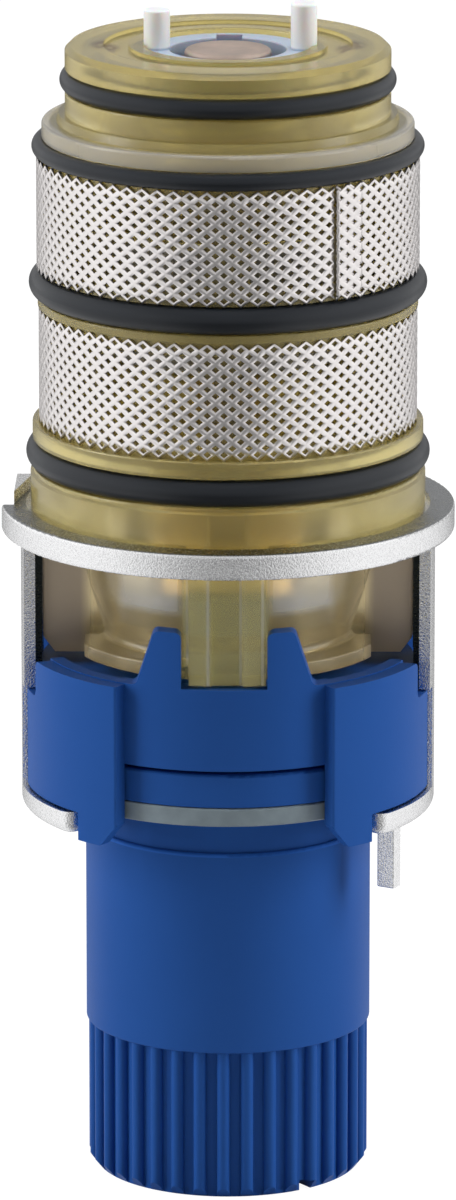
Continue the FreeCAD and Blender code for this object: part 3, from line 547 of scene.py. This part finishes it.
def open_lattice(radius, low, high, columns, rows, strand):
    """Sleeve of staggered diamonds between two heights, one sheet without thickness."""
    step = (high - low) / rows
    bpy.ops.object.select_all(action="DESELECT")
    bpy.ops.mesh.primitive_circle_add(vertices=columns, radius=radius, location=(0, 0, 0))
    sleeve = bpy.context.object
    bpy.ops.object.mode_set(mode="EDIT")
    bpy.ops.mesh.select_mode(type="EDGE")
    bpy.ops.mesh.select_all(action="SELECT")
    bpy.ops.transform.translate(value=(0, 0, low))
    for _ in range(rows):
        bpy.ops.mesh.extrude_region_move(TRANSFORM_OT_translate={"value": (0, 0, step)})
    bpy.ops.mesh.select_all(action="SELECT")
    bpy.ops.mesh.normals_make_consistent(inside=False)
    bpy.ops.mesh.poke()
    pick_edges(sleeve, lambda a, b: on_row(a, low, step) and on_row(b, low, step)
               and not (end_row(a, low, high) and end_row(b, low, high)))
    bpy.ops.mesh.dissolve_edges(use_verts=False)
    pick_faces(sleeve, lambda face: len(face.vertices) == 3)
    bpy.ops.mesh.delete(type="FACE")
    bpy.ops.mesh.select_mode(type="FACE")
    bpy.ops.mesh.select_all(action="SELECT")
    bpy.ops.mesh.inset(thickness=strand / 2, use_individual=True)
    bpy.ops.mesh.delete(type="FACE")
    bpy.ops.object.mode_set(mode="OBJECT")
    return sleeve


def on_row(point, low, step):
    """True for a point on one of the sleeve's rows."""
    rows = (point.z - low) / step
    return abs(rows - round(rows)) < 0.1


def end_row(point, low, high):
    """True for a point on the sleeve's lowest or highest row."""
    return min(abs(point.z - low), abs(point.z - high)) < 0.01 * MM


def pick_edges(obj, test):
    """Selects, in edit mode, the edges whose two end points pass a test."""
    bpy.ops.mesh.select_mode(type="EDGE")
    bpy.ops.mesh.select_all(action="DESELECT")
    bpy.ops.object.mode_set(mode="OBJECT")
    points = obj.data.vertices
    for edge in obj.data.edges:
        edge.select = test(points[edge.vertices[0]].co, points[edge.vertices[1]].co)
    bpy.ops.object.mode_set(mode="EDIT")


def pick_faces(obj, test):
    """Selects, in edit mode, the faces that pass a test."""
    bpy.ops.mesh.select_mode(type="FACE")
    bpy.ops.mesh.select_all(action="DESELECT")
    bpy.ops.object.mode_set(mode="OBJECT")
    for face in obj.data.polygons:
        face.select = test(face)
    bpy.ops.object.mode_set(mode="EDIT")


def cut_radially(angle, clear=None):
    """Cuts a sheet, in edit mode, along a plane through the axis, and clears the side before
    or beyond an angle from the front."""
    bpy.ops.mesh.select_all(action="SELECT")
    bpy.ops.mesh.bisect(
        plane_co=(0, 0, 0), plane_no=(math.cos(angle), math.sin(angle), 0),
        clear_inner=clear == "before", clear_outer=clear == "beyond")


def sheet_metal(obj, thickness):
    """Gives a sheet its thickness, inwards, and rounds its shading."""
    solid = obj.modifiers.new("thickness", "SOLIDIFY")
    solid.thickness = thickness
    solid.offset = -1.0
    bpy.ops.object.modifier_apply(modifier=solid.name)
    bpy.ops.object.shade_smooth()


def front_angle(point):
    """Angle of a point in plan, from the front towards the right."""
    return math.atan2(point.x, -point.y)


class CARTRIDGE_OT_screens(bpy.types.Operator):
    """Make the two screens of expanded metal"""
    bl_idname = "cartridge.screens"
    bl_label = "Filter screens"

    def execute(self, context):
        sizes = context.scene.cartridge_screens
        for name, radius, low, high, seam in (
                ("upper_mesh", sizes.upper_radius, UPPER_LOW.z, UPPER_HIGH.z, True),
                ("lower_mesh", sizes.lower_radius, LOWER_LOW.z, LOWER_HIGH.z, False)):
            sleeve = open_lattice(radius, low, high, sizes.columns, sizes.rows, sizes.strand)
            if seam:
                self.slit(sleeve, radius, sizes)
            sheet_metal(sleeve, sizes.thickness)
            if seam:
                sleeve = self.overlap(sleeve, radius, low, high, sizes)
            sleeve.name = name
            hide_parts(name.replace("mesh", "filter_screen"))
            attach(sleeve, "cartridge_body")
            give_finish(sleeve, "screen_metal")
        return {"FINISHED"}

    def slit(self, sleeve, radius, sizes):
        """Opens the sheet along the overlap's first edge."""
        slit_start = sizes.seam_start - sizes.seam_slit / radius
        bpy.ops.object.mode_set(mode="EDIT")
        for angle in (slit_start, sizes.seam_start):
            cut_radially(angle)
        pick_faces(sleeve, lambda face: slit_start < front_angle(face.center)
                   < sizes.seam_start)
        bpy.ops.mesh.delete(type="FACE")
        bpy.ops.object.mode_set(mode="OBJECT")

    def overlap(self, sleeve, radius, low, high, sizes):
        """Second layer of the sheet over the seam, joined to the sleeve."""
        thickness = OVERLAP_THICKNESS * sizes.thickness
        layer_radius = radius + thickness
        layer = open_lattice(layer_radius, low, high, sizes.columns, sizes.rows, sizes.strand)
        bpy.ops.object.mode_set(mode="EDIT")
        bpy.ops.mesh.select_all(action="SELECT")
        bpy.ops.transform.rotate(value=OVERLAP_SHIFT * math.tau / sizes.columns, orient_axis="Z",
                                 center_override=(0, 0, 0))
        pick_faces(layer, lambda face: not 0 < front_angle(face.center) < math.pi / 2)
        bpy.ops.mesh.delete(type="FACE")
        cut_radially(sizes.seam_start, clear="before")
        cut_radially(sizes.seam_end, clear="beyond")
        bpy.ops.object.mode_set(mode="OBJECT")
        sheet_metal(layer, thickness)
        sleeve.select_set(True)
        bpy.context.view_layer.objects.active = sleeve
        bpy.ops.object.join()
        return sleeve


class CARTRIDGE_OT_leg_fillers(bpy.types.Operator):
    """Make the two curved fillers, dark with painted shade, between the legs and the stop ring"""
    bl_idname = "cartridge.leg_fillers"
    bl_label = "Leg fillers"

    def execute(self, context):
        sizes = context.scene.cartridge_fillers
        for name, side in (("leg_filler_left", math.pi), ("leg_filler_right", 0.0)):
            bpy.ops.object.select_all(action="DESELECT")
            bpy.ops.mesh.primitive_plane_add(size=1.0, location=(0, 0, 0))
            filler = bpy.context.object
            bpy.ops.object.mode_set(mode="EDIT")
            bpy.ops.mesh.select_all(action="SELECT")
            bpy.ops.transform.rotate(value=math.pi / 2, orient_axis="X",
                                     center_override=(0, 0, 0))
            bpy.ops.transform.resize(value=(
                sizes.outer_radius - sizes.inner_radius, 1.0, sizes.top - sizes.bottom))
            bpy.ops.transform.translate(value=(
                (sizes.outer_radius + sizes.inner_radius) / 2, 0,
                (sizes.top + sizes.bottom) / 2))
            bpy.ops.transform.rotate(value=side - sizes.half_angle, orient_axis="Z",
                                     center_override=(0, 0, 0))
            bpy.ops.mesh.spin(steps=FILLER_STEPS, angle=2 * sizes.half_angle,
                              center=(0, 0, 0), axis=(0, 0, 1))
            bpy.ops.mesh.select_all(action="SELECT")
            bpy.ops.mesh.normals_make_consistent(inside=False)
            bpy.ops.object.mode_set(mode="OBJECT")
            filler.name = name
            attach(filler, "cartridge_body")
            # The cast metal's painted shade inside the legs makes the fillers dark
            give_finish(filler, "cast_metal")
        return {"FINISHED"}


class CARTRIDGE_OT_finishes(bpy.types.Operator):
    """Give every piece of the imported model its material"""
    bl_idname = "cartridge.finishes"
    bl_label = "Finishes"

    def execute(self, context):
        colours = context.scene.cartridge_finish
        amber_moulding(colours.amber, colours.painted_light_amber, colours.painted_shade_amber)
        blue_moulding(colours.blue)
        seal_rubber(colours.rubber)
        cast_metal(colours.cast_metal)
        screen_metal(colours.screen_metal)
        washer_moulding(colours.washer)
        white_moulding(colours.white)
        copper_metal(colours.copper)
        plain_metal("brass", BRASS, 0.28)
        plain_metal("steel", STEEL, 0.24)
        slide_moulding(SLIDE)
        for node, material in NODE_FINISHES.items():
            give_finish(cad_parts[node], material)
        return {"FINISHED"}


class CARTRIDGE_OT_stage(bpy.types.Operator):
    """Add the floor, lamps and camera"""
    bl_idname = "cartridge.stage"
    bl_label = "Stage"

    def execute(self, context):
        stage = context.scene.cartridge_stage
        context.scene.view_settings.view_transform = "Standard"
        self.world(context, stage)
        self.floor(stage)
        self.lamps(stage)
        self.camera(context, stage)
        return {"FINISHED"}

    def world(self, context, stage):
        """White to the camera and through glass, softly lit to gloss and dim to the rest."""
        world = bpy.data.worlds.new("studio")
        context.scene.world = world
        world.use_nodes = True
        sky = Finish(world.node_tree, "ShaderNodeOutputWorld")
        white, glossy = sky.rays()
        across = sky.node("SeparateXYZ", inputs={
            0: sky.node("TexCoord", output="Generated")}, output="X")
        gloss = self.side_light(abs(across), stage.back_light)
        sky.finish(sky.node("Background", inputs={
            "Color": shade((1.0, 1.0, 1.0)),
            "Strength": stage.ambient + white * (1.0 - stage.ambient) + glossy * gloss}))

    def side_light(self, aside, between):
        """White towards the sides, another brightness between them."""
        return between + aside.above(SIDE_EDGE, SIDE_SOFTNESS) * (1.0 - between)

    def floor(self, stage):
        """Grey floor that keeps a shadow and glows white to the camera."""
        bpy.ops.object.select_all(action="DESELECT")
        bpy.ops.mesh.primitive_plane_add(size=FLOOR_SIZE, location=(0, 0, 0))
        floor = bpy.context.object
        floor.name = "floor"
        finish = new_finish("floor")
        distance = finish.node("VectorMath", {"operation": "LENGTH"}, {0: finish.place()},
                               output="Value")
        gloss = self.side_light(abs(finish.along("X")) / distance, stage.dark_card)
        white, glossy = finish.rays()
        diffuse = finish.node("BsdfDiffuse", inputs={"Color": shade(FLOOR_GREY)})
        glow = finish.node("Emission", inputs={
            "Color": shade((1.0, 1.0, 1.0)),
            "Strength": white * FLOOR_GLOW + glossy * gloss})
        share = (white + glossy).at_most(1.0) * FLOOR_GLOW_SHARE
        finish.finish(finish.node("MixShader", inputs={0: share, 1: diffuse, 2: glow}))
        give_finish(floor, "floor")

    def lamps(self, stage):
        for name, place, size, power in SOFTBOXES:
            data = bpy.data.lights.new(name, "AREA")
            data.shape = "RECTANGLE"
            data.size, data.size_y = size
            data.energy = getattr(stage, power)
            lamp = bpy.data.objects.new(name, data)
            bpy.context.scene.collection.objects.link(lamp)
            lamp.location = place
            lamp.visible_glossy = False
            aim = Vector((0, 0, stage.target_height)) - Vector(place)
            lamp.rotation_euler = aim.to_track_quat("-Z", "Y").to_euler()

    def camera(self, context, stage):
        data = bpy.data.cameras.new("camera")
        data.lens = stage.camera_lens
        data.sensor_width = 36.0
        data.clip_end = 20.0
        camera = bpy.data.objects.new("camera", data)
        context.scene.collection.objects.link(camera)
        level = stage.camera_distance * math.cos(stage.camera_pitch)
        camera.location = (
            level * math.sin(stage.camera_turn), -level * math.cos(stage.camera_turn),
            stage.target_height + stage.camera_distance * math.sin(stage.camera_pitch))
        camera.rotation_euler = (math.pi / 2 - stage.camera_pitch, 0, stage.camera_turn)
        context.scene.camera = camera


class CARTRIDGE_PT_panel(bpy.types.Panel):
    """Lists the cartridge's operators"""
    bl_idname = "CARTRIDGE_PT_panel"
    bl_label = "Tap Cartridge"
    bl_space_type = "VIEW_3D"
    bl_region_type = "UI"
    bl_category = "Cartridge"

    def draw(self, context):
        for operator in OPERATORS:
            self.layout.operator(operator.bl_idname)


OPERATORS = (CARTRIDGE_OT_finishes, CARTRIDGE_OT_screens, CARTRIDGE_OT_leg_fillers,
             CARTRIDGE_OT_stage)
CLASSES = (ScreenSettings, FillerSettings, FinishSettings, StageSettings, *OPERATORS,
           CARTRIDGE_PT_panel)


def register():
    for cls in CLASSES:
        bpy.utils.register_class(cls)
    bpy.types.Scene.cartridge_screens = PointerProperty(type=ScreenSettings)
    bpy.types.Scene.cartridge_fillers = PointerProperty(type=FillerSettings)
    bpy.types.Scene.cartridge_finish = PointerProperty(type=FinishSettings)
    bpy.types.Scene.cartridge_stage = PointerProperty(type=StageSettings)


def unregister():
    del bpy.types.Scene.cartridge_stage
    del bpy.types.Scene.cartridge_finish
    del bpy.types.Scene.cartridge_fillers
    del bpy.types.Scene.cartridge_screens
    for cls in reversed(CLASSES):
        bpy.utils.unregister_class(cls)


def main():
    register()
    bpy.ops.cartridge.finishes()
    bpy.ops.cartridge.screens()
    bpy.ops.cartridge.leg_fillers()
    bpy.ops.cartridge.stage()


if __name__ == "__main__":
    main()
